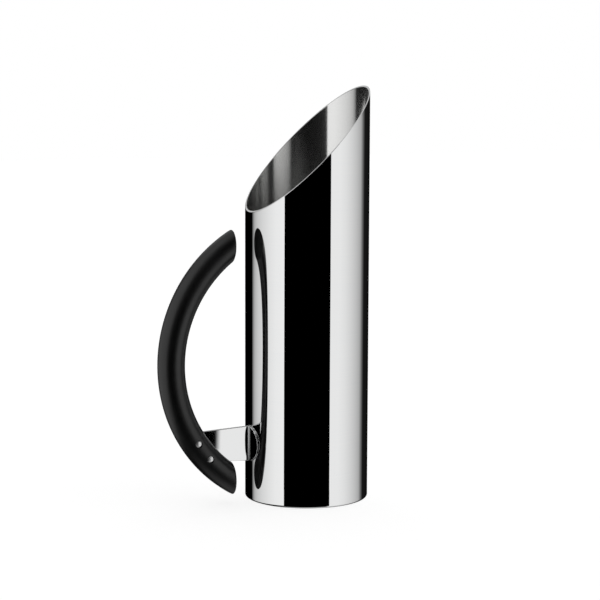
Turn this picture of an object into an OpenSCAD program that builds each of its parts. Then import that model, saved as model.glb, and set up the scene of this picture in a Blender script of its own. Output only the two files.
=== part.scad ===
// Cocktail pitcher: a polished steel cylinder with a slanted mouth and a black arc-shaped grip.
// Both ends of the grip stay clear of the body. One bracket, low down, carries the grip:
// two bent plates back to back, with flanges rolled to the body and tongues riveted into the grip.
// The origin is the middle of the base on the table. +Z is up and the grip points along -X.

/* [Body] */
// Outer diameter of the body
body_d = 80; // [60:1:110]
// Thickness of the body's wall
wall_t = 1; // [0.6:0.1:2]
// Height of the rim's low side, above the grip
lip_h = 187; // [150:0.5:240]
// Slope of the rim, in degrees from level
rim_slope = 45; // [20:1:55]

/* [Base] */
// Height of the base cup, up to its seam with the tube
base_h = 12; // [8:1:24]
// Thickness of the base cup's floor
floor_t = 1.2; // [0.8:0.1:2]
// Radius of the rounded bottom edge
base_edge_r = 1.5; // [1:0.1:4]
// Width of the ring that the pitcher stands on
foot_w = 5; // [3:0.5:12]
// Height by which the middle of the floor is pressed up
dish_h = 1; // [0.5:0.1:3]

/* [Grip] */
// Diameter of the round grip
grip_d = 17.5; // [14:0.5:24]
// Radius of the arc along the middle of the grip
grip_arc_r = 90; // [75:1:130]
// Clear room for the fingers, between the body and the middle of the grip
finger_gap = 44.5; // [36:0.5:60]
// Clear gap between the body and the two ends of the grip
end_gap = 12; // [6:0.5:20]
// Height of the middle of the grip's lower end above the table
grip_low_z = 15.1; // [13:0.1:30]

/* [Bracket] */
// Thickness of each of the two bracket plates
plate_t = 1; // [0.6:0.1:2]
// Height of the bracket's lower edge above the table
bracket_z = 26.5; // [24:0.5:50]
// Height of the bracket, at the body
bracket_h = 22.5; // [19:0.5:30]
// Slope of the web's upper and lower edges, which close in towards the grip, in degrees
web_slope = 2.5; // [0.5:0.5:5]
// How far the rounded end of a flange reaches past the bend
flange_reach = 9.5; // [8:0.5:13]
// Radius inside the bend between a plate's web and its flange
bend_r = 1.5; // [0.4:0.1:3]
// Gap between the body and the flanges, filled by the braze
braze_gap = 0.05; // [0.02:0.01:0.2]
// Width of plate left outside the rivets, inside the grip
tongue_margin = 3.6; // [2.4:0.1:5]
// Clearance of the tongues in the grip's slot, on each side
slot_gap = 0.15; // [0.05:0.05:0.4]

/* [Rivets] */
// Diameter of a rivet's shank
rivet_d = 2.6; // [2:0.1:3]
// Diameter of a rivet's domed head
head_d = 4; // [3.2:0.1:5]
// Height of a rivet's domed head
head_h = 0.6; // [0.5:0.1:1.4]
// Clearance round a rivet's shank, on each side
rivet_gap = 0.1; // [0.05:0.05:0.3]
// Clearance round a rivet's head in its counterbore, on each side
head_gap = 0.45; // [0.2:0.05:0.8]
// Depth of the counterbores below the side of the grip
counterbore_h = 0.6; // [0.5:0.1:1.6]
// Distance of the rivets inside the middle of the grip, towards the fingers
rivet_inset = 0.4; // [0:0.1:2]
// Height of the lower rivet above the bracket's lower edge
rivet_edge = 4.4; // [3.5:0.1:8]
// Distance between the two rivets
rivet_pitch = 13; // [8:0.5:14]

/* [Hidden] */
$fn = 96;

steel = [0.76, 0.77, 0.78];
bright_steel = [0.86, 0.87, 0.88];
black_nylon = [0.06, 0.06, 0.065];

body_r = body_d / 2;
tip_h = lip_h + body_d * tan(rim_slope);
// Larger than the pitcher, for cuts that leave nothing on their far side
far = 3 * (tip_h + body_d + finger_gap);

// The inside of the pressed edge keeps a small radius however thick the wall is
inner_edge_r = max(base_edge_r - wall_t, 0.3);
dish_r = body_r - base_edge_r - foot_w;

// The grip's arc lies in the plane y = 0
end_x = -body_r - end_gap;
grip_x = grip_arc_r - body_r - finger_gap - grip_d / 2;
grip_z = grip_low_z + sqrt(grip_arc_r ^ 2 - (end_x - grip_x) ^ 2);

// A flange's outer face, and the centre of the bend that joins it to the web
flange_r = body_r + braze_gap + plate_t;
flange_mid_r = flange_r - plate_t / 2;
bend_y = plate_t + bend_r;
bend = [-sqrt((flange_r + bend_r) ^ 2 - bend_y ^ 2), bend_y];
bend_mid = bend * flange_mid_r / (flange_r + bend_r);
bend_end_y = bend_y * flange_r / (flange_r + bend_r);
// The bend's arcs run this far past the faces they join, to cross them cleanly
bend_lap = 0.01;
// The web's edges slope from just outside the bend
slope_x = bend.x - plate_t / 2;
function web_half(x) = bracket_h / 2 + (x - slope_x) * tan(web_slope);
flange_arc_r = ((bracket_h / 2) ^ 2 + flange_reach ^ 2) / (2 * flange_reach);

// The rivets stand on an arc round the grip's own centre, measured down from level
rivet_r = grip_arc_r - rivet_inset;
tongue_r = rivet_r + tongue_margin;
web_reach = tongue_r - grip_x;
lower_angle = asin((grip_z - bracket_z - rivet_edge) / rivet_r);
upper_angle = lower_angle - 2 * asin(rivet_pitch / 2 / rivet_r);
head_seat_y = grip_d / 2 - counterbore_h;
dome_r = ((head_d / 2) ^ 2 + head_h ^ 2) / (2 * head_h);

// Half of a pressed cup's section: its outline from the axis out, with a rounded lower edge
module cup_section(r, edge_r, h) {
    square([r - edge_r, h]);
    translate([0, edge_r]) square([r, h - edge_r]);
    translate([r - edge_r, edge_r]) circle(edge_r);
}

// Half of the section of the floor's pressed-up middle
module dish_section() {
    polygon([[0, 0], [dish_r, 0], [dish_r - dish_h, dish_h], [0, dish_h]]);
}

// Everything above the slanted plane of the mouth
module above_rim() {
    translate([-body_r, 0, lip_h])
        rotate([0, -rim_slope, 0])
            translate([-far / 2, -far / 2, 0]) cube(far);
}

// A round disc in the plane of the grip, about the centre of the grip's arc
module grip_disc(r) {
    translate([grip_x, 0, grip_z])
        rotate([90, 0, 0]) cylinder(r = r, h = far, center = true, $fn = 192);
}

// What follows is placed on the axis of a rivet, which runs across the grip
module at_rivet(angle) {
    translate([grip_x - rivet_r * cos(angle), 0, grip_z - rivet_r * sin(angle)])
        rotate([90, 0, 0]) children();
}

module rivet_holes() {
    for (angle = [lower_angle, upper_angle])
        at_rivet(angle) cylinder(r = rivet_d / 2 + rivet_gap, h = far, center = true, $fn = 48);
}

// A bracket plate seen from above: web and rolled flange, on the +Y side of the two plates' joint.
// The bend between them adds a round inside the corner and takes the sharp corner off outside it.
module plate_section() {
    difference() {
        union() {
            translate([-web_reach, 0]) square([web_reach - flange_mid_r, plate_t]);
            intersection() {
                difference() {
                    circle(flange_r, $fn = 192);
                    circle(flange_r - plate_t, $fn = 192);
                }
                translate([-2 * flange_r, 0]) square(2 * flange_r);
            }
            difference() {
                polygon([bend, [bend.x, plate_t / 2], [bend_mid.x, plate_t / 2], bend_mid]);
                translate(bend) circle(bend_r + bend_lap);
            }
        }
        difference() {
            polygon([bend, [bend.x, -plate_t], [0, -plate_t], [0, 0]]);
            translate(bend) circle(bend_r + plate_t + bend_lap);
        }
    }
}

// A bracket plate seen from the grip: full height up to the bend, then a flange with a rounded end
module plate_outline() {
    translate([-bracket_h / 2, 0]) square([bracket_h, bend_end_y]);
    intersection() {
        translate([-bracket_h / 2, 0]) square(bracket_h);
        translate([0, bend_end_y + flange_reach - flange_arc_r]) circle(flange_arc_r, $fn = 192);
    }
}

// All that lies between the web's sloping edges, with some room above and below it
module web_wedge(room) {
    left = -web_reach - plate_t;
    translate([0, far / 2, bracket_z + bracket_h / 2]) rotate([90, 0, 0]) linear_extrude(far)
        polygon([
            [left, -web_half(left) - room], [0, -web_half(0) - room],
            [0, web_half(0) + room], [left, web_half(left) + room]
        ]);
}

module bracket_plate() {
    difference() {
        intersection() {
            translate([0, 0, bracket_z]) linear_extrude(bracket_h) plate_section();
            translate([0, 0, bracket_z + bracket_h / 2])
                rotate([0, -90, 0]) linear_extrude(far) plate_outline();
            web_wedge(0);
            grip_disc(tongue_r);
        }
        rivet_holes();
    }
}

module rivet(angle) {
    at_rivet(angle) rotate_extrude($fn = 48) {
        translate([0, -head_seat_y]) square([rivet_d / 2, 2 * head_seat_y]);
        for (side = [0, 1])
            mirror([0, side]) intersection() {
                translate([0, head_seat_y + head_h - dome_r]) circle(dome_r);
                translate([0, head_seat_y]) square([head_d / 2, head_h]);
            }
    }
}

module body_tube() {
    color(steel) difference() {
        translate([0, 0, base_h]) cylinder(r = body_r, h = tip_h - base_h, $fn = 192);
        cylinder(r = body_r - wall_t, h = far, $fn = 192);
        above_rim();
    }
}

module base_cup() {
    color(steel) rotate_extrude($fn = 192) difference() {
        cup_section(body_r, base_edge_r, base_h);
        dish_section();
        translate([0, floor_t]) difference() {
            cup_section(body_r - wall_t, inner_edge_r, base_h);
            dish_section();
        }
    }
}

module bracket_plate_left() {
    color(steel) bracket_plate();
}

module bracket_plate_right() {
    color(steel) mirror([0, 1, 0]) bracket_plate();
}

module handle_grip() {
    color(black_nylon) difference() {
        translate([grip_x, 0, grip_z]) rotate([90, 0, 0])
            rotate_extrude($fn = 192) translate([grip_arc_r, 0]) circle(d = grip_d);
        // The two ends are cut upright, side by side with the body
        translate([end_x, -far / 2, -far / 2]) cube(far);
        // The slot for the two tongues opens towards the body
        intersection() {
            translate([-far, -plate_t - slot_gap, bracket_z - slot_gap])
                cube([far, 2 * (plate_t + slot_gap), bracket_h + 2 * slot_gap]);
            web_wedge(slot_gap);
            grip_disc(tongue_r + slot_gap);
        }
        rivet_holes();
        for (angle = [lower_angle, upper_angle], side = [0, 1])
            at_rivet(angle) mirror([0, 0, side]) translate([0, 0, head_seat_y])
                cylinder(r = head_d / 2 + head_gap, h = grip_d, $fn = 48);
    }
}

module rivet_upper() {
    color(bright_steel) rivet(upper_angle);
}

module rivet_lower() {
    color(bright_steel) rivet(lower_angle);
}

body_tube();
base_cup();
bracket_plate_left();
bracket_plate_right();
handle_grip();
rivet_upper();
rivet_lower();
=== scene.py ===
# %% [markdown]
# # A cocktail pitcher in polished steel
#
# The pitcher is a tall steel cylinder with a mouth cut at a slant. A black bow-shaped grip stands beside
# it, and one bracket near the foot carries that grip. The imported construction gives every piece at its
# real size, in metres, so this lesson only has to dress it: seven finely meshed pieces, four finishes and
# a small studio. A mirror shows every facet, which is why each steel piece is modelled again here with far
# more steps.

# %% Load the construction and keep its box
from math import acos, asin, atan2, cos, degrees, hypot, pi, radians, sin, sqrt, tan

import bmesh
import bpy
from mathutils import Matrix, Vector


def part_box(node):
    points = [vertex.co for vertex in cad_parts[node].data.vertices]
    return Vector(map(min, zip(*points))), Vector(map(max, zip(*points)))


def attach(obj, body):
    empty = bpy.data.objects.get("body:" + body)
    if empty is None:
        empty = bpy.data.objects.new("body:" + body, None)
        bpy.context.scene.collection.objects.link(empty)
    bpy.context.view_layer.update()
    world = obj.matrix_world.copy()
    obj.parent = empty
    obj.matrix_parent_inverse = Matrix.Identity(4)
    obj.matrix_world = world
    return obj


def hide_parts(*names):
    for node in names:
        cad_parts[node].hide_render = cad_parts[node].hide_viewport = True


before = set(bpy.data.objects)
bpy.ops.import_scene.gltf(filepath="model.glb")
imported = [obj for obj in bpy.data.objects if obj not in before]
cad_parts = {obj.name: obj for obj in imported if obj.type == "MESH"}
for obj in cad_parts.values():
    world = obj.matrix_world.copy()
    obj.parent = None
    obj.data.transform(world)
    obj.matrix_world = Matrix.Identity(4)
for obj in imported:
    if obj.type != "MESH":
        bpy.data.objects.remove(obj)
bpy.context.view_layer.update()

MM = 0.001

# %% [markdown]
# ## The camera
#
# A product picture like this is taken with a long lens from a little over a metre away, which keeps the
# sides of the cylinder almost parallel. The camera could be aimed by a constraint, but plain values are
# easier to check: how far away and how high it stands, how far round the pitcher, which way it faces, how
# far it looks down, and a very small roll.

# %% Place the camera
CAMERA_REACH = 1207 * MM
CAMERA_HEIGHT = 283.5 * MM
CAMERA_ROUND = radians(-23.56)
CAMERA_HEADING = radians(-23.35)
CAMERA_DOWN = radians(7.302)
CAMERA_ROLL = radians(0.2)
LENS_MM = 112.66
SENSOR_MM = 36

lens = bpy.data.cameras.new("long_lens")
lens.lens = LENS_MM
lens.sensor_width = SENSOR_MM
camera = bpy.data.objects.new("camera", lens)
bpy.context.scene.collection.objects.link(camera)
aim = Matrix.Rotation(CAMERA_HEADING, 4, "Z") @ Matrix.Rotation(pi / 2 - CAMERA_DOWN, 4, "X")
stand = Vector((sin(CAMERA_ROUND), -cos(CAMERA_ROUND), 0)) * CAMERA_REACH
stand.z = CAMERA_HEIGHT
camera.matrix_world = Matrix.Translation(stand) @ aim @ Matrix.Rotation(CAMERA_ROLL, 4, "Z")
bpy.context.scene.camera = camera
print("camera stands at", [round(value, 3) for value in stand])

# %% [markdown]
# ## Two helpers for making a piece
#
# Every piece is a bmesh that operators shape. At the end it needs the same few things: doubles merged,
# faces turned outwards, smooth shading that stops at true edges, and a place on the construction. One
# function does that for all seven. A second gives the wanted edges of a mesh by a test, which keeps the
# cells below short.

# %% Helpers that finish a piece and pick edges
SHARP_ANGLE = radians(32)
WELD = 1e-7


def finish_piece(bm, name, materials):
    """Turns a bmesh into the visible piece that stands for the construction's node of the same name."""
    bmesh.ops.remove_doubles(bm, verts=bm.verts, dist=WELD)
    bmesh.ops.recalc_face_normals(bm, faces=bm.faces)
    for face in bm.faces:
        face.smooth = True
    for edge in bm.edges:
        edge.smooth = edge.calc_face_angle(0) < SHARP_ANGLE
    mesh = bpy.data.meshes.new(name)
    bm.to_mesh(mesh)
    bm.free()
    for material in materials:
        mesh.materials.append(material)
    piece = bpy.data.objects.new(name + "_piece", mesh)
    bpy.context.scene.collection.objects.link(piece)
    by_area = piece.modifiers.new("normals_by_area", "WEIGHTED_NORMAL")
    by_area.keep_sharp = True
    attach(piece, "root")
    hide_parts(name)
    print(name, "has", len(mesh.polygons), "faces")


def edges_where(bm, test):
    """The edges whose two ends both pass the test."""
    return [edge for edge in bm.edges if all(test(vert.co) for vert in edge.verts)]


print("edges of", round(degrees(SHARP_ANGLE)), "degrees and more stay sharp")

# %% [markdown]
# ## Colours and nodes
#
# Colours are written as the sRGB values that a colour picker shows, and shaders work in linear light, so
# one function converts them. Another adds a node, sets its values and links it in one call. Most of a node
# tree is just that, and a function for each kind of node would only hide it.

# %% Helpers for colours and node trees
def linear(hex_colour):
    """An sRGB hex colour as the linear RGBA that shaders use."""
    channels = [int(hex_colour[i:i + 2], 16) / 255 for i in (1, 3, 5)]
    light = [c / 12.92 if c <= 0.04045 else ((c + 0.055) / 1.055) ** 2.4 for c in channels]
    return (*light, 1)


def add_node(tree, kind, inputs, **settings):
    """Adds a node. Each input is a number or colour to set, or another node's output to link."""
    node = tree.nodes.new(kind)
    for key, value in settings.items():
        setattr(node, key, value)
    for key, value in inputs.items():
        if isinstance(value, bpy.types.NodeSocket):
            tree.links.new(value, node.inputs[key])
        else:
            node.inputs[key].default_value = value
    return node


def empty_material(name):
    """A new material and its node tree, with nothing in the tree yet."""
    material = bpy.data.materials.new(name)
    material.use_nodes = True
    material.node_tree.nodes.clear()
    return material, material.node_tree


print("the grey #808080 is", round(linear("#808080")[0], 3), "in linear light")

# %% [markdown]
# ## Mirror-polished stainless steel
#
# The outside was ground, then buffed on cloth wheels while the tube turned. That leaves a true mirror with
# very faint lines round the body and soft patches of haze. Lines round the body tip the reflection up and
# down only, so upright bands in the mirror keep crisp sides. A painted metal colour would look flat, so the
# shader is plain metal whose roughness drifts with the haze. The lines are drawn coarser than the real
# grit, or they would be too fine to show.

# %% Make the outside finish
BUFF_LINE = 0.5 * MM
BUFF_LENGTH = 60 * MM
BUFF_DEPTH = 0.002 * MM
HAZE_PATCH = 25 * MM
MIRROR_ROUGHNESS = 0.008, 0.02


def mirror_steel():
    material, tree = empty_material("stainless_steel_mirror_buffed")
    place = add_node(tree, "ShaderNodeTexCoord", {}).outputs["Object"]
    stretched = add_node(tree, "ShaderNodeMapping", {
        "Vector": place, "Scale": (1 / BUFF_LENGTH, 1 / BUFF_LENGTH, 1 / BUFF_LINE),
    })
    lines = add_node(tree, "ShaderNodeTexNoise", {
        "Vector": stretched.outputs["Vector"], "Scale": 1, "Detail": 2,
    })
    haze = add_node(tree, "ShaderNodeTexNoise", {"Vector": place, "Scale": 1 / HAZE_PATCH, "Detail": 3})
    gloss = add_node(tree, "ShaderNodeMapRange", {
        "Value": haze.outputs["Fac"], "From Min": 0.3, "From Max": 0.7,
        "To Min": MIRROR_ROUGHNESS[0], "To Max": MIRROR_ROUGHNESS[1],
    })
    tint = add_node(tree, "ShaderNodeMix", {
        "Factor": lines.outputs["Fac"], "A": linear("#D8D9DA"), "B": linear("#DCDCDB"),
    }, data_type="RGBA")
    bump = add_node(tree, "ShaderNodeBump", {
        "Height": lines.outputs["Fac"], "Strength": 0.1, "Distance": BUFF_DEPTH,
    })
    shader = add_node(tree, "ShaderNodeBsdfPrincipled", {
        "Metallic": 1, "Base Color": tint.outputs["Result"],
        "Roughness": gloss.outputs["Result"], "Normal": bump.outputs["Normal"],
    })
    add_node(tree, "ShaderNodeOutputMaterial", {"Surface": shader.outputs["BSDF"]})
    return material


mirror = mirror_steel()
print("made", mirror.name)

# %% [markdown]
# ## Satin stainless steel inside
#
# No buffing wheel reaches down a narrow tube, so the inside keeps the fine grind of the sheet that it was
# rolled from. Its lines run round the tube, and such lines smear what they mirror up and down but hardly
# sideways. Bump alone would need lines too fine to draw, and an anisotropic shader with an upright tangent
# does it at once. A rough coat, which mirrors only a few percent, adds the haze of a ground surface, so
# that light from the panels spreads into the dark parts of the reflection. The lines that bump does draw
# are coarser than the real grind.

# %% Make the inside finish
GRIND_LINE = 0.4 * MM
GRIND_LENGTH = 40 * MM
GRIND_DEPTH = 0.0003 * MM
SATIN_ROUGHNESS = 0.17, 0.19


def satin_steel():
    material, tree = empty_material("stainless_steel_satin_ground")
    place = add_node(tree, "ShaderNodeTexCoord", {}).outputs["Object"]
    stretched = add_node(tree, "ShaderNodeMapping", {
        "Vector": place, "Scale": (1 / GRIND_LENGTH, 1 / GRIND_LENGTH, 1 / GRIND_LINE),
    })
    lines = add_node(tree, "ShaderNodeTexNoise", {
        "Vector": stretched.outputs["Vector"], "Scale": 1, "Detail": 4,
    })
    gloss = add_node(tree, "ShaderNodeMapRange", {
        "Value": lines.outputs["Fac"], "From Min": 0.25, "From Max": 0.75,
        "To Min": SATIN_ROUGHNESS[0], "To Max": SATIN_ROUGHNESS[1],
    })
    tint = add_node(tree, "ShaderNodeMix", {
        "Factor": lines.outputs["Fac"], "A": linear("#D4D4D3"), "B": linear("#DADAD9"),
    }, data_type="RGBA")
    bump = add_node(tree, "ShaderNodeBump", {
        "Height": lines.outputs["Fac"], "Strength": 0.05, "Distance": GRIND_DEPTH,
    })
    upright = add_node(tree, "ShaderNodeCombineXYZ", {"Z": 1})
    shader = add_node(tree, "ShaderNodeBsdfPrincipled", {
        "Metallic": 1, "Anisotropic": 1, "Coat Weight": 1, "Coat Roughness": 0.5,
        "Base Color": tint.outputs["Result"], "Roughness": gloss.outputs["Result"],
        "Normal": bump.outputs["Normal"], "Tangent": upright.outputs["Vector"],
    })
    add_node(tree, "ShaderNodeOutputMaterial", {"Surface": shader.outputs["BSDF"]})
    return material


satin = satin_steel()
print("made", satin.name)

# %% [markdown]
# ## Moulded black nylon
#
# The grip is a solid moulding. Its mould was spark-eroded, which prints a fine grain of a few tenths of a
# millimetre: enough to turn a hard shine into a broad, soft one. The grain could be modelled, but at that
# size bump looks the same. The grip is new, so its gloss only drifts a little over its length.

# %% Make the grip's finish
MOULD_GRAIN = 0.35 * MM
GRAIN_DEPTH = 0.02 * MM
GLOSS_DRIFT = 18 * MM
NYLON_ROUGHNESS = 0.36, 0.42


def black_nylon():
    material, tree = empty_material("nylon_black_moulded")
    place = add_node(tree, "ShaderNodeTexCoord", {}).outputs["Object"]
    grain = add_node(tree, "ShaderNodeTexNoise", {"Vector": place, "Scale": 1 / MOULD_GRAIN, "Detail": 3})
    drift = add_node(tree, "ShaderNodeTexNoise", {"Vector": place, "Scale": 1 / GLOSS_DRIFT, "Detail": 2})
    gloss = add_node(tree, "ShaderNodeMapRange", {
        "Value": drift.outputs["Fac"], "From Min": 0.3, "From Max": 0.7,
        "To Min": NYLON_ROUGHNESS[0], "To Max": NYLON_ROUGHNESS[1],
    })
    tint = add_node(tree, "ShaderNodeMix", {
        "Factor": grain.outputs["Fac"], "A": linear("#060607"), "B": linear("#0B0B0C"),
    }, data_type="RGBA")
    bump = add_node(tree, "ShaderNodeBump", {
        "Height": grain.outputs["Fac"], "Strength": 0.25, "Distance": GRAIN_DEPTH,
    })
    shader = add_node(tree, "ShaderNodeBsdfPrincipled", {
        "IOR": 1.5, "Base Color": tint.outputs["Result"],
        "Roughness": gloss.outputs["Result"], "Normal": bump.outputs["Normal"],
    })
    add_node(tree, "ShaderNodeOutputMaterial", {"Surface": shader.outputs["BSDF"]})
    return material


nylon = black_nylon()
print("made", nylon.name)

# %% [markdown]
# ## Pale rivet steel
#
# A rivet's head is closed by a peening tool. Its small blows leave the head pale but dull, so that light
# spreads over the whole of it, while the buffed body beside it mirrors sharply. The blows are drawn by one
# noise, which sets the roughness, the tint and the bump together.

# %% Make the rivets' finish
PEEN_MARK = 0.3 * MM
PEEN_DEPTH = 0.01 * MM
RIVET_ROUGHNESS = 0.46, 0.52


def rivet_steel():
    material, tree = empty_material("stainless_steel_formed_rivet")
    place = add_node(tree, "ShaderNodeTexCoord", {}).outputs["Object"]
    marks = add_node(tree, "ShaderNodeTexNoise", {"Vector": place, "Scale": 1 / PEEN_MARK, "Detail": 2})
    gloss = add_node(tree, "ShaderNodeMapRange", {
        "Value": marks.outputs["Fac"], "From Min": 0.3, "From Max": 0.7,
        "To Min": RIVET_ROUGHNESS[0], "To Max": RIVET_ROUGHNESS[1],
    })
    tint = add_node(tree, "ShaderNodeMix", {
        "Factor": marks.outputs["Fac"], "A": linear("#F0F0F0"), "B": linear("#FAFAFA"),
    }, data_type="RGBA")
    bump = add_node(tree, "ShaderNodeBump", {
        "Height": marks.outputs["Fac"], "Strength": 0.15, "Distance": PEEN_DEPTH,
    })
    shader = add_node(tree, "ShaderNodeBsdfPrincipled", {
        "Metallic": 1, "Base Color": tint.outputs["Result"],
        "Roughness": gloss.outputs["Result"], "Normal": bump.outputs["Normal"],
    })
    add_node(tree, "ShaderNodeOutputMaterial", {"Surface": shader.outputs["BSDF"]})
    return material


peened = rivet_steel()
print("made", peened.name)

# %% [markdown]
# ## The body tube
#
# On the real pitcher this is sheet rolled into a tube, welded and cut off at 45 degrees. The box of its
# node gives the radius, the seam that it starts from and the tip of the mouth. The lip, at the other end
# of the slant, follows from those.

# %% Take the tube's sizes from the construction
WALL = 1.0 * MM
RIM_SLOPE = radians(45)

tube_low, tube_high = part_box("body_tube")
body_r = tube_high.y
inner_r = body_r - WALL
seam_z = tube_low.z
tip_z = tube_high.z
lip_z = tip_z - 2 * body_r * tan(RIM_SLOPE)
rim_point = Vector((-body_r, 0, lip_z))
rim_normal = Vector((-sin(RIM_SLOPE), 0, cos(RIM_SLOPE)))
print("rim from", round(lip_z / MM, 1), "to", round(tip_z / MM, 1), "mm up")

# %% [markdown]
# A cylinder primitive would need its wall cut open, so a rectangle, the section of the wall, is spun round
# the axis instead. A plane then bisects the tube at the slant of the mouth, the two open loops are bridged
# to make the rim, and the rim's edges get the small round that stops them cutting a hand.

# %% Spin the wall, cut the mouth and close the rim
ROUND_STEPS = 512
RIM_EDGE = 0.2 * MM
EDGE_STEPS = 3
ON_PLANE = 0.002 * MM


def cut_off(bm, point, outward):
    """Cuts off what lies beyond the plane through a point, on the side that outward points to."""
    bmesh.ops.bisect_plane(bm, geom=[*bm.verts, *bm.edges, *bm.faces], plane_co=point,
                           plane_no=outward, clear_outer=True)


def on_rim(point):
    return abs((point - rim_point).dot(rim_normal)) < ON_PLANE


def runs_round(edge):
    """Tells an edge along the rim from one that crosses the wall."""
    first_r, second_r = [hypot(vert.co.x, vert.co.y) for vert in edge.verts]
    return abs(first_r - second_r) < WALL / 2


bm = bmesh.new()
corners = [(body_r, seam_z), (body_r, tip_z + WALL), (inner_r, tip_z + WALL), (inner_r, seam_z)]
section = [bm.verts.new((x, 0, z)) for x, z in corners]
wall_edges = [bm.edges.new((section[i - 1], section[i])) for i in range(len(section))]
bmesh.ops.spin(bm, geom=section + wall_edges, cent=(0, 0, 0), axis=(0, 0, 1), angle=2 * pi,
               steps=ROUND_STEPS, use_merge=True)
cut_off(bm, rim_point, rim_normal)
bmesh.ops.bridge_loops(bm, edges=[edge for edge in bm.edges if edge.is_boundary])
rim_edges = [edge for edge in edges_where(bm, on_rim) if runs_round(edge)]
bmesh.ops.bevel(bm, geom=rim_edges, offset=RIM_EDGE, segments=EDGE_STEPS, profile=0.5,
                affect="EDGES", material=-1)
print("the rim was rounded along", len(rim_edges), "edges")

# %% [markdown]
# The outside and the inside of one wall have different finishes, so each face takes its material by its
# distance from the axis: what lies within a thin skin of the inner wall is satin, and the rest is mirror.

# %% Give the tube its two finishes
SKIN = 0.1 * MM


def is_inside(face):
    middle = face.calc_center_median()
    return hypot(middle.x, middle.y) < inner_r + SKIN


for face in bm.faces:
    face.material_index = int(is_inside(face))
finish_piece(bm, "body_tube", [mirror, satin])

# %% [markdown]
# ## The base cup
#
# The bottom is a shallow pressing, butt-welded to the tube and polished until the seam is gone. A disc with
# a bevelled edge would lack its hollow, so the cup is made like a turned part: its section is drawn as a
# wire of straight lines and spun once round. The rivets and their drill need the same two steps, so each
# step is a helper.

# %% Helpers that draw an outline and turn it
def wire(bm, outline):
    """A chain of straight edges through the points of an outline."""
    verts = [bm.verts.new(point) for point in outline]
    for first, second in zip(verts, verts[1:]):
        bm.edges.new((first, second))
    return verts


def turn(bm, axis, steps):
    """Spins everything once round an axis through the origin and merges the seam."""
    bmesh.ops.spin(bm, geom=[*bm.verts, *bm.edges], cent=(0, 0, 0), axis=axis, angle=2 * pi,
                   steps=steps, use_merge=True)
    bmesh.ops.remove_doubles(bm, verts=bm.verts, dist=WELD)
    bmesh.ops.recalc_face_normals(bm, faces=bm.faces)


print("a step round the body is", round(2 * pi * body_r / ROUND_STEPS / MM, 2), "mm long")

# %% [markdown]
# Each corner of the section is written with the radius that the press tool gives it, and a vertex bevel
# draws that round. The middle of the floor is pressed up, so that the pitcher stands on a ring. Only the
# inner wall and the top of the floor are satin.

# %% Draw the section, round its corners and spin it
CUP_FLOOR = 1.2 * MM
FOOT_EDGE = 1.5 * MM
INNER_EDGE = 0.5 * MM
FOOT_RING = 5 * MM
DISH = 1.0 * MM
DISH_EDGE = 0.6 * MM
CORNER_STEPS = 6

dish_r = body_r - FOOT_EDGE - FOOT_RING
corners_and_rounds = [
    (0, DISH, 0), (dish_r - DISH, DISH, DISH_EDGE), (dish_r, 0, DISH_EDGE), (body_r, 0, FOOT_EDGE),
    (body_r, seam_z, 0), (inner_r, seam_z, 0), (inner_r, CUP_FLOOR, INNER_EDGE),
    (dish_r, CUP_FLOOR, DISH_EDGE), (dish_r - DISH, DISH + CUP_FLOOR, DISH_EDGE), (0, DISH + CUP_FLOOR, 0),
]
bm = bmesh.new()
section = wire(bm, [(x, 0, z) for x, z, radius in corners_and_rounds])
for vert, (x, z, radius) in zip(section, corners_and_rounds):
    if radius > 0:
        bmesh.ops.bevel(bm, geom=[vert], offset=radius, segments=CORNER_STEPS, profile=0.5,
                        affect="VERTICES", material=-1)
turn(bm, (0, 0, 1), ROUND_STEPS)
for face in bm.faces:
    above_the_dish = face.calc_center_median().z > DISH + SKIN
    face.material_index = int(above_the_dish and is_inside(face))
finish_piece(bm, "base_cup", [mirror, satin])

# %% [markdown]
# ## The rivets
#
# A rivet is a turned part: half of its outline, spun round its own axis. A sphere cut off flat could be its
# head, but a spin of one vertex draws the arc of the dome exactly, and mirroring the half gives the head on
# the other side. The heads sit in shallow counterbores, which the rivets' own sizes will give later on.

# %% Turn the two rivets
RIVET_STEPS = 96
DOME_STEPS = 16
SHANK_R = 1.3 * MM
HEAD_H = 0.6 * MM


def turn_mirrored(bm):
    """Mirrors half an outline across the joint and turns the whole of it round the Y axis."""
    bmesh.ops.mirror(bm, geom=[*bm.verts, *bm.edges], axis="Y", merge_dist=WELD)
    bmesh.ops.remove_doubles(bm, verts=bm.verts, dist=WELD)
    turn(bm, (0, 1, 0), RIVET_STEPS)


def rivet(name):
    """A rivet in the place of the node of that name."""
    low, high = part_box(name)
    head_r = (high.x - low.x) / 2
    top = high.y
    dome_r = (head_r ** 2 + HEAD_H ** 2) / (2 * HEAD_H)
    bm = bmesh.new()
    wire(bm, [(head_r, top - HEAD_H, 0), (SHANK_R, top - HEAD_H, 0), (SHANK_R, 0, 0)])
    pole = bm.verts.new((0, top, 0))
    bmesh.ops.spin(bm, geom=[pole], cent=(0, top - dome_r, 0), axis=(0, 0, -1),
                   angle=asin(head_r / dome_r), steps=DOME_STEPS)
    turn_mirrored(bm)
    bmesh.ops.translate(bm, vec=(low + high) / 2, verts=bm.verts)
    finish_piece(bm, name, [peened])


rivet_names = ("rivet_upper", "rivet_lower")
for name in rivet_names:
    rivet(name)

# %% [markdown]
# ## A drill for the rivet holes
#
# The grip and the two tongues were drilled in one go: a hole for the shank, with a wider counterbore for
# the head at each side. One stepped drill, turned like the rivet, takes all of that away. A Boolean modifier
# does the cutting. It is applied at once, so that the piece is plain mesh again.

# %% Make the drill and the cutting helper
RIVET_GAP = 0.1 * MM
HEAD_GAP = 0.45 * MM


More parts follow.
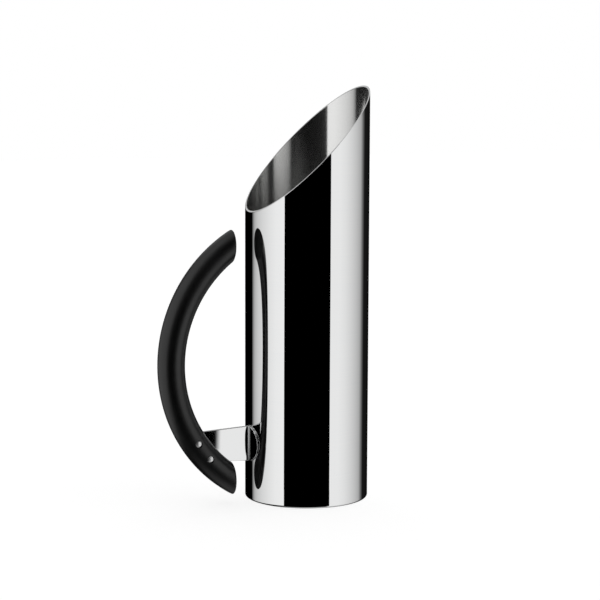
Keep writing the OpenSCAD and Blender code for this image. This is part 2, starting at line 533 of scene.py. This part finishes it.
def drill(name):
    """A stepped drill in the place of a rivet, with room round shank and head."""
    low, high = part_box(name)
    hole_r = SHANK_R + RIVET_GAP
    bore_r = (high.x - low.x) / 2 + HEAD_GAP
    seat = high.y - HEAD_H
    clear_of_grip = 2 * high.y
    bm = bmesh.new()
    wire(bm, [(0, clear_of_grip, 0), (bore_r, clear_of_grip, 0), (bore_r, seat, 0),
              (hole_r, seat, 0), (hole_r, 0, 0)])
    turn_mirrored(bm)
    bmesh.ops.translate(bm, vec=(low + high) / 2, verts=bm.verts)
    return bm


def cut_away(bm, cutters):
    """The mesh without the cutters' shapes."""
    solids = []
    for shape in [bm, *cutters]:
        mesh = bpy.data.meshes.new("stock")
        shape.to_mesh(mesh)
        shape.free()
        solids.append(bpy.data.objects.new("stock", mesh))
        bpy.context.scene.collection.objects.link(solids[-1])
    for cutter in solids[1:]:
        cut = solids[0].modifiers.new("cut", "BOOLEAN")
        cut.operation = "DIFFERENCE"
        cut.object = cutter
    left = bmesh.new()
    left.from_object(solids[0], bpy.context.evaluated_depsgraph_get())
    for solid in solids:
        bpy.data.meshes.remove(solid.data)
    return left


print("the drill leaves", round(RIVET_GAP / MM, 2), "mm round a shank")

# %% [markdown]
# ## The two bracket plates
#
# Each plate is one strip of sheet: a flat web that ends in a tongue inside the grip, a bend, and a flange
# rolled to the body's own radius. It could be carved from a block, but it is easier to bend it as a press
# does. Its own few sizes are written first, and its places come from the grip, the rivets and the body that
# it joins.

# %% Take the bracket's sizes from the construction
PLATE = 1.0 * MM
BRAZE = 0.05 * MM
BEND_R = 1.5 * MM
FLANGE_REACH = 9.5 * MM
TONGUE_MARGIN = 3.6 * MM
ARC_R = 90 * MM

grip_low, grip_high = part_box("handle_grip")
bar_r = grip_high.y
end_x = grip_high.x
arc_centre = Vector((grip_low.x + bar_r + ARC_R, 0, (grip_low.z + grip_high.z) / 2))
plate_low, plate_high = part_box("bracket_plate_left")
bracket_h = plate_high.z - plate_low.z
bracket_middle = (plate_low.z + plate_high.z) / 2
flange_r = body_r + BRAZE + PLATE
bend_centre = Vector((-sqrt((flange_r + BEND_R) ** 2 - (PLATE + BEND_R) ** 2), PLATE + BEND_R, 0))
bend_turn = pi / 2 - asin(bend_centre.y / (flange_r + BEND_R))
flange_y = bend_centre.y * flange_r / (flange_r + BEND_R)
flange_turn = asin((flange_y + FLANGE_REACH) / flange_r) - asin(flange_y / flange_r)
flange_arc_r = ((bracket_h / 2) ** 2 + FLANGE_REACH ** 2) / (2 * FLANGE_REACH)
rivet_low, rivet_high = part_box("rivet_lower")
rivet_place = (rivet_low + rivet_high) / 2 - arc_centre
tongue_r = hypot(rivet_place.x, rivet_place.z) + TONGUE_MARGIN
print("bracket from", round(plate_low.z / MM, 1), "to", round(plate_high.z / MM, 1), "mm up")

# %% [markdown]
# Spinning a single vertex draws an arc. So the strip's section starts as the straight line of the web, and
# two spins carry it on, first round the bend and then round the body. It is drawn for the plate on the +Y
# side, along the face that shows, and extruded to the bracket's height.

# %% Bend the strip
BEND_STEPS = 16
FLANGE_STEPS = 18


def only_verts(parts):
    return [part for part in parts if isinstance(part, bmesh.types.BMVert)]


def pull_up(bm, height):
    """Extrudes every edge straight up into a wall."""
    raised = bmesh.ops.extrude_edge_only(bm, edges=bm.edges)
    bmesh.ops.translate(bm, vec=(0, 0, height), verts=only_verts(raised["geom"]))


def bent_strip():
    """The face of a plate that shows: web, bend and flange, at the bracket's height."""
    bm = bmesh.new()
    web = wire(bm, [(arc_centre.x - tongue_r, PLATE, plate_low.z), (bend_centre.x, PLATE, plate_low.z)])
    bend = bmesh.ops.spin(bm, geom=[web[1]], cent=bend_centre, axis=(0, 0, 1), angle=bend_turn,
                          steps=BEND_STEPS)
    bmesh.ops.spin(bm, geom=only_verts(bend["geom_last"]), cent=(0, 0, 0), axis=(0, 0, 1),
                   angle=-flange_turn, steps=FLANGE_STEPS)
    bmesh.ops.remove_doubles(bm, verts=bm.verts, dist=WELD)
    pull_up(bm, bracket_h)
    return bm


print("the bend turns", round(degrees(bend_turn), 1), "degrees, the flange", round(degrees(flange_turn), 1))

# %% [markdown]
# Shears and a punch give the strip its outline, and planes do that here. Two sloping cuts narrow the web
# towards the grip. A fan of cuts gives the flange its rounded end, and another gives the tongue the grip's
# own arc. The slot in the grip will need the same web and tongue with some room beside them.

# %% Helpers that trim the strip
WEB_SLOPE = radians(2.5)
FLANGE_CUTS = 36
TONGUE_ARC = radians(20), radians(50)
TONGUE_CUTS = 16


def trim_round(bm, centre, radius, across, up, arc, cuts):
    """Cuts off what lies outside a round outline, with a fan of planes that touch it."""
    first, last = arc
    for i in range(cuts + 1):
        angle = first + (last - first) * i / cuts
        outward = across * cos(angle) + up * sin(angle)
        cut_off(bm, centre + outward * radius, outward)


def trim_web(bm, room):
    """Slopes the upper and lower edges, from just outside the bend, with some room beside them."""
    for up in (1, -1):
        corner = Vector((bend_centre.x - PLATE / 2, 0, bracket_middle + up * (bracket_h / 2 + room)))
        cut_off(bm, corner, Vector((-sin(WEB_SLOPE), 0, up * cos(WEB_SLOPE))))


def trim_flange(bm):
    """Rounds the flange's end."""
    middle = Vector((0, flange_y + FLANGE_REACH - flange_arc_r, bracket_middle))
    half_turn = asin(bracket_h / 2 / flange_arc_r)
    trim_round(bm, middle, flange_arc_r, Vector((0, 1, 0)), Vector((0, 0, 1)), (-half_turn, half_turn),
               FLANGE_CUTS)


def trim_tongue(bm, radius):
    """Cuts the tongue to an arc about the centre of the grip's own arc."""
    trim_round(bm, arc_centre, radius, Vector((-1, 0, 0)), Vector((0, 0, -1)), TONGUE_ARC, TONGUE_CUTS)


print("the flange's end has a radius of", round(flange_arc_r / MM, 1), "mm")

# %% [markdown]
# Solidify makes the strip sheet. It thickens away from the side that the faces point to, so the web has to
# face outwards first. A bevel takes the burr off all edges. The other plate is the mirror image, so the same
# function makes both and scales the second one by -1 across the joint.

# %% Thicken, round and drill the plates
PLATE_CORNER = radians(60)
PLATE_EDGE = 0.35 * MM


def thicken(bm):
    """Makes the strip sheet and rounds its edges."""
    bmesh.ops.recalc_face_normals(bm, faces=bm.faces)
    largest = max(bm.faces, key=lambda face: face.calc_area())
    if largest.normal.y < 0:
        bmesh.ops.reverse_faces(bm, faces=bm.faces)
    bmesh.ops.solidify(bm, geom=bm.faces, thickness=PLATE)
    bmesh.ops.remove_doubles(bm, verts=bm.verts, dist=WELD)
    bmesh.ops.recalc_face_normals(bm, faces=bm.faces)
    outline = [edge for edge in bm.edges if edge.calc_face_angle(0) > PLATE_CORNER]
    bmesh.ops.bevel(bm, geom=outline, offset=PLATE_EDGE, segments=EDGE_STEPS, profile=0.5,
                    affect="EDGES", material=-1)


def bracket_plate(side):
    """One plate. The side is 1 for the plate on +Y and -1 for the other."""
    bm = bent_strip()
    trim_web(bm, 0)
    trim_flange(bm)
    trim_tongue(bm, tongue_r)
    thicken(bm)
    bmesh.ops.scale(bm, vec=(1, side, 1), verts=bm.verts)
    bmesh.ops.recalc_face_normals(bm, faces=bm.faces)
    return cut_away(bm, [drill(name) for name in rivet_names])


for side, name in ((1, "bracket_plate_left"), (-1, "bracket_plate_right")):
    finish_piece(bracket_plate(side), name, [mirror])

# %% [markdown]
# ## The grip
#
# The grip is a round bar, bent to an arc and cut off upright beside the body at both ends. A bevelled curve
# would give the bar but not its cut ends, so one circle is spun about the arc's centre, and a plane cuts it.
# Rings that this plane cut through would leave slivers in the way of a bevel, so they are dissolved.

# %% Sweep the bar and cut its ends
BAR_SIDES = 96
BAR_STEPS = 160
BAR_TURN = radians(150)
WHOLE_RING_MARGIN = radians(2.5)
SAME_ANGLE = 1e-5


def along_bar(point):
    """How far along the arc a point lies, as an angle from level."""
    return abs(atan2(point.z - arc_centre.z, arc_centre.x - point.x))


def angle_span(edge):
    return abs(along_bar(edge.verts[0].co) - along_bar(edge.verts[1].co))


def on_end(point):
    return abs(point.x - end_x) < ON_PLANE


bm = bmesh.new()
ring = bmesh.ops.create_circle(bm, segments=BAR_SIDES, radius=bar_r)["verts"]
start = (Matrix.Translation(arc_centre) @ Matrix.Rotation(-BAR_TURN / 2, 4, "Y")
         @ Matrix.Translation((-ARC_R, 0, 0)))
bmesh.ops.transform(bm, matrix=start, verts=ring)
bmesh.ops.spin(bm, geom=[*bm.verts, *bm.edges], cent=arc_centre, axis=(0, 1, 0), angle=BAR_TURN,
               steps=BAR_STEPS)
cut_off(bm, Vector((end_x, 0, 0)), Vector((1, 0, 0)))
last_ring = acos((arc_centre.x - end_x) / (ARC_R - bar_r)) - WHOLE_RING_MARGIN
cut_rings = [edge for edge in edges_where(bm, lambda point: along_bar(point) > last_ring)
             if angle_span(edge) < SAME_ANGLE and not edge.is_boundary]
bmesh.ops.dissolve_edges(bm, edges=cut_rings, use_verts=True)
bmesh.ops.holes_fill(bm, edges=[edge for edge in bm.edges if edge.is_boundary], sides=0)
bmesh.ops.recalc_face_normals(bm, faces=bm.faces)
print("the bar has", len(bm.faces), "faces and", len(edges_where(bm, on_end)), "edges round its ends")

# %% [markdown]
# The moulding's ends have a small round, which a bevel gives. Where the rings were dissolved, the faces
# beside it are long and flat. Grid fill divides them, and each new vertex is then laid back on the round of
# the bar: as far from the bar's core as all the others.

# %% Round the ends and lay the long faces back on the bar
END_EDGE = 1.0 * MM
LONG_SPAN = 1.3 * BAR_TURN / BAR_STEPS
LONG_CUTS = 9


def lies_on_end(edge):
    return all(on_end(vert.co) for vert in edge.verts)


bmesh.ops.bevel(bm, geom=edges_where(bm, on_end), offset=END_EDGE, segments=CORNER_STEPS, profile=0.5,
                affect="EDGES", material=-1)
long_edges = [edge for edge in bm.edges if angle_span(edge) > LONG_SPAN and not lies_on_end(edge)]
divided = bmesh.ops.subdivide_edges(bm, edges=long_edges, cuts=LONG_CUTS, use_grid_fill=True)
for vert in only_verts(divided["geom_inner"]):
    spoke = vert.co - arc_centre
    spoke.y = 0
    core = arc_centre + spoke.normalized() * ARC_R
    vert.co = core + (vert.co - core).normalized() * bar_r
bmesh.ops.recalc_face_normals(bm, faces=bm.faces)
print("after rounding it has", len(bm.faces), "faces")

# %% [markdown]
# The slot for the two tongues is a flat shape with the same arc at its end, a little larger all round. It
# is cut in one pass with the rivets' holes and counterbores.

# %% Cut the slot and the counterbores
SLOT_GAP = 0.15 * MM

slot = bmesh.new()
slot_half = PLATE + SLOT_GAP
slot_foot = plate_low.z - SLOT_GAP
wire(slot, [(arc_centre.x - tongue_r - SLOT_GAP, -slot_half, slot_foot), (-body_r, -slot_half, slot_foot)])
pull_up(slot, bracket_h + 2 * SLOT_GAP)
trim_web(slot, SLOT_GAP)
trim_tongue(slot, tongue_r + SLOT_GAP)
block = bmesh.ops.extrude_face_region(slot, geom=slot.faces)
bmesh.ops.translate(slot, vec=(0, 2 * slot_half, 0), verts=only_verts(block["geom"]))
bmesh.ops.recalc_face_normals(slot, faces=slot.faces)
bm = cut_away(bm, [slot] + [drill(name) for name in rivet_names])
finish_piece(bm, "handle_grip", [nylon])

# %% [markdown]
# ## The studio room
#
# Polished steel has hardly any look of its own: it shows the room. A cylinder like this is lit by tall
# white panels on both sides, with black cloth in front of it and a dark room behind. Cards could stand for
# all of that, but what is far away is easier to paint on the inside of a large dome, by direction: how far
# round from the camera, and how far up.
#
# The right panel comes first. Its levels of light are given in degrees to the right of the camera, and the
# cloth covers its near end with a crisp edge. A colour ramp holds only 256 steps, which would blur that
# edge, so a map range draws it. Above and below, the panel fades out between two heights, in degrees from
# level.

# %% Paint the right panel
HALF_TURN = 180
RIGHT_PANEL = [
    (0, 1.12), (62, 1.12), (76, 1.03), (90, 0.89), (105, 0.71), (116, 0.55),
    (124, 0.18), (131, 0.012), (160, 0.005), (HALF_TURN, 0.006),
]
CLOTH_EDGE = 44.1, 44.27
PANEL_TOP_FADE = 45, 25
PANEL_FOOT_FADE = -58, -36


def paint_levels(ramp, levels):
    """Sets a colour ramp's greys from pairs of a place and a level of light. The last place is its end."""
    stops = ramp.color_ramp.elements
    while len(stops) < len(levels):
        stops.new(1.0)
    for stop, (place, level) in zip(stops, levels):
        stop.position = place / levels[-1][0]
        stop.color = (level, level, level, 1)


def panel_light(tree, direction):
    """The right panel's light by direction: its level, cut by the cloth and faded above and below."""
    from_camera = add_node(tree, "ShaderNodeMapping", {
        "Vector": direction, "Rotation": (0, 0, pi / 2 - CAMERA_ROUND),
    })
    turn_share = add_node(tree, "ShaderNodeTexGradient", {
        "Vector": from_camera.outputs["Vector"],
    }, gradient_type="RADIAL")
    to_the_right = add_node(tree, "ShaderNodeMapRange", {
        "Value": turn_share.outputs["Fac"], "From Min": 0.5, "From Max": 1, "To Max": HALF_TURN,
    })
    ramp_place = add_node(tree, "ShaderNodeMath", {
        0: to_the_right.outputs["Result"], 1: HALF_TURN,
    }, operation="DIVIDE")
    level = add_node(tree, "ShaderNodeValToRGB", {"Fac": ramp_place.outputs[0]})
    paint_levels(level, RIGHT_PANEL)
    beside_cloth = add_node(tree, "ShaderNodeMapRange", {
        "Value": to_the_right.outputs["Result"], "From Min": CLOTH_EDGE[0], "From Max": CLOTH_EDGE[1],
    })
    light = add_node(tree, "ShaderNodeVectorMath", {
        0: level.outputs["Color"], "Scale": beside_cloth.outputs["Result"],
    }, operation="SCALE").outputs["Vector"]
    height = add_node(tree, "ShaderNodeSeparateXYZ", {"Vector": direction})
    for none, full in (PANEL_TOP_FADE, PANEL_FOOT_FADE):
        kept = add_node(tree, "ShaderNodeMapRange", {
            "Value": height.outputs["Z"], "From Min": sin(radians(none)), "From Max": sin(radians(full)),
        }, interpolation_type="SMOOTHSTEP")
        light = add_node(tree, "ShaderNodeVectorMath", {
            0: light, "Scale": kept.outputs["Result"],
        }, operation="SCALE").outputs["Vector"]
    return light


print("the right panel has", len(RIGHT_PANEL), "levels of light")

# %% [markdown]
# The rest of the room is four soft lights. Each is a round patch with an aim, the angle from that aim where
# it begins, the angle where it is full, and its strength. The cut face of the rim is flat, so it shows the
# camera a single spot of the room, and the rim lamp is aimed from there. Where two lights meet, the brighter
# one counts.

# %% Aim the soft lights
CEILING_TILT = radians(20)
BACK_LIGHT_DIP = radians(30)
FLOOR_LIGHT_TILT = radians(10)

away = Vector((-sin(CAMERA_ROUND), cos(CAMERA_ROUND), 0))
right = Vector((cos(CAMERA_ROUND), sin(CAMERA_ROUND), 0))
up = Vector((0, 0, 1))
mouth_middle = Vector((0, 0, (lip_z + tip_z) / 2))
rim_mirrors = (mouth_middle - stand).normalized().reflect(rim_normal)
SOFT_LIGHTS = {
    "ceiling": (away * sin(CEILING_TILT) + up * cos(CEILING_TILT), 58, 40, 0.65),
    "rim lamp": (rim_mirrors, 10, 6, 0.65),
    "back light": (away * cos(BACK_LIGHT_DIP) - up * sin(BACK_LIGHT_DIP), 22, 6, 0.45),
    "floor": (right * sin(FLOOR_LIGHT_TILT) - up * cos(FLOOR_LIGHT_TILT), 42, 24, 0.6),
}


def with_soft_lights(tree, direction, light):
    """Adds the soft patches to a light, where the brighter one counts."""
    for aim, none, full, strength in SOFT_LIGHTS.values():
        facing = add_node(tree, "ShaderNodeVectorMath", {0: direction, 1: aim}, operation="DOT_PRODUCT")
        patch = add_node(tree, "ShaderNodeMapRange", {
            "Value": facing.outputs["Value"], "To Max": strength,
            "From Min": cos(radians(none)), "From Max": cos(radians(full)),
        }, interpolation_type="SMOOTHSTEP")
        light = add_node(tree, "ShaderNodeVectorMath", {
            0: light, 1: patch.outputs["Result"],
        }, operation="MAXIMUM").outputs["Vector"]
    return light


print("the soft lights are:", ", ".join(SOFT_LIGHTS))

# %% [markdown]
# The dome itself is an icosphere, whose faces are all alike and have no poles. It is so wide that the whole
# pitcher sees the same room in the same direction. The camera looks through the dome and sees only white,
# and the steel sees all of it.

# %% Raise the dome
DOME_R = 20.0
DOME_LEVEL = 4


def room_paint():
    material, tree = empty_material("studio_cloth_painted")
    place = add_node(tree, "ShaderNodeTexCoord", {}).outputs["Object"]
    direction = add_node(tree, "ShaderNodeVectorMath", {0: place}, operation="NORMALIZE").outputs["Vector"]
    light = with_soft_lights(tree, direction, panel_light(tree, direction))
    glow = add_node(tree, "ShaderNodeEmission", {"Color": light, "Strength": 1})
    add_node(tree, "ShaderNodeOutputMaterial", {"Surface": glow.outputs["Emission"]})
    return material


def stage_piece(bm, name, material):
    """A piece of the studio, which isn't part of the pitcher."""
    mesh = bpy.data.meshes.new(name)
    bm.to_mesh(mesh)
    bm.free()
    mesh.materials.append(material)
    piece = bpy.data.objects.new(name, mesh)
    bpy.context.scene.collection.objects.link(piece)
    return piece


bm = bmesh.new()
bmesh.ops.create_icosphere(bm, subdivisions=DOME_LEVEL, radius=DOME_R)
dome = stage_piece(bm, "dome", room_paint())
dome.visible_camera = False
print("the dome has", len(dome.data.polygons), "faces")

# %% [markdown]
# The left panel stands close to the pitcher, about the length of a forearm away. That shows inside the
# mouth: the far wall in there looks past the near edge of the panel sooner than the outside does. So it is
# a real sheet and not paint on the dome. It is lit from its front end, so its light falls off towards the
# back, by levels that are given in millimetres along it. It goes on below the floor, because mirrors look
# past that. Only mirrors see it, and it casts no shadow, so the floor keeps the one soft shadow of the
# pitcher.

# %% Stand the near panel on the left
NEAR_PANEL = [
    (0, 1.18), (178, 1.14), (261, 1.05), (335, 0.92), (390, 0.78), (426, 0.61), (451, 0.33), (472, 0.0),
]
PANEL_FRONT = right * -304 * MM + away * -358 * MM
PANEL_BACK = right * -235 * MM + away * 100 * MM
PANEL_LOW, PANEL_HIGH = -120 * MM, 750 * MM

heading = (PANEL_BACK - PANEL_FRONT).normalized()
panel_length = NEAR_PANEL[-1][0] * MM


def panel_paper():
    material, tree = empty_material("paper_panel_lit")
    place = add_node(tree, "ShaderNodeTexCoord", {}).outputs["Object"]
    along = add_node(tree, "ShaderNodeVectorMath", {0: place, 1: heading}, operation="DOT_PRODUCT")
    start = PANEL_FRONT.dot(heading)
    share = add_node(tree, "ShaderNodeMapRange", {
        "Value": along.outputs["Value"], "From Min": start, "From Max": start + panel_length,
    })
    level = add_node(tree, "ShaderNodeValToRGB", {"Fac": share.outputs["Result"]})
    paint_levels(level, NEAR_PANEL)
    glow = add_node(tree, "ShaderNodeEmission", {"Color": level.outputs["Color"], "Strength": 1})
    add_node(tree, "ShaderNodeOutputMaterial", {"Surface": glow.outputs["Emission"]})
    return material


bm = bmesh.new()
foot = Vector((0, 0, PANEL_LOW))
wire(bm, [PANEL_FRONT + foot, PANEL_FRONT + heading * panel_length + foot])
pull_up(bm, PANEL_HIGH - PANEL_LOW)
near_panel = stage_piece(bm, "near_panel", panel_paper())
near_panel.visible_camera = False
near_panel.visible_diffuse = False
near_panel.visible_shadow = False
print("the near panel's front end stands", round(PANEL_FRONT.length / MM), "mm away")

# %% [markdown]
# The ground of the picture is white, at a strength of 1, for the camera and for whatever mirrors or glass
# look out of the studio. It adds no light to the pitcher. The floor below needs the same sum of rays, so a
# function makes it.

# %% Set the white ground
def looked_at(tree):
    """1 for rays from the camera, off a mirror or through glass, and 0 for what matt surfaces gather."""
    ray = add_node(tree, "ShaderNodeLightPath", {})
    camera_or_mirror = add_node(tree, "ShaderNodeMath", {
        0: ray.outputs["Is Camera Ray"], 1: ray.outputs["Is Glossy Ray"],
    }, operation="ADD")
    any_look = add_node(tree, "ShaderNodeMath", {
        0: camera_or_mirror.outputs[0], 1: ray.outputs["Is Transmission Ray"],
    }, operation="ADD", use_clamp=True)
    return any_look.outputs[0]


world = bpy.data.worlds.new("white_ground")
bpy.context.scene.world = world
world.use_nodes = True
tree = world.node_tree
tree.nodes.clear()
ground_white = add_node(tree, "ShaderNodeBackground", {"Color": (1, 1, 1, 1), "Strength": looked_at(tree)})
add_node(tree, "ShaderNodeOutputWorld", {"Surface": ground_white.outputs["Background"]})
print("the ground is white at strength 1")

# %% [markdown]
# ## The floor
#
# The floor is a white sheet. Most of its white is its own, so that it runs into the white ground without a
# line. A matt share is added to that, and it takes the pitcher's soft shadow. Together they just reach
# white. Mirrors look past the floor into the painted room, so that the bands in the steel run down to the
# foot.

# %% Lay the floor
SHEET_HALF = 4.0
OWN_WHITE = 0.83

paper, tree = empty_material("paper_white_matt")
lit = add_node(tree, "ShaderNodeBsdfDiffuse", {"Color": linear("#F4F4F4")})
own = add_node(tree, "ShaderNodeEmission", {"Color": (1, 1, 1, 1), "Strength": OWN_WHITE})
shaded = add_node(tree, "ShaderNodeBsdfDiffuse", {"Color": linear("#B3B3B3")})
sheet = add_node(tree, "ShaderNodeAddShader", {0: own.outputs["Emission"], 1: shaded.outputs["BSDF"]})
seen = add_node(tree, "ShaderNodeMixShader", {
    0: looked_at(tree), 1: lit.outputs["BSDF"], 2: sheet.outputs["Shader"],
})
add_node(tree, "ShaderNodeOutputMaterial", {"Surface": seen.outputs["Shader"]})

bm = bmesh.new()
bmesh.ops.create_grid(bm, x_segments=1, y_segments=1, size=SHEET_HALF)
floor = stage_piece(bm, "floor", paper)
floor.visible_glossy = False
print("the floor is", 2 * SHEET_HALF, "m wide")

# %% [markdown]
# Blender's usual view bends bright colours as film does, which would turn this white to grey. The Standard
# view shows colours as they are written.

# %% Show colours as they are written
bpy.context.scene.view_settings.view_transform = "Standard"
print("the view is", bpy.context.scene.view_settings.view_transform)
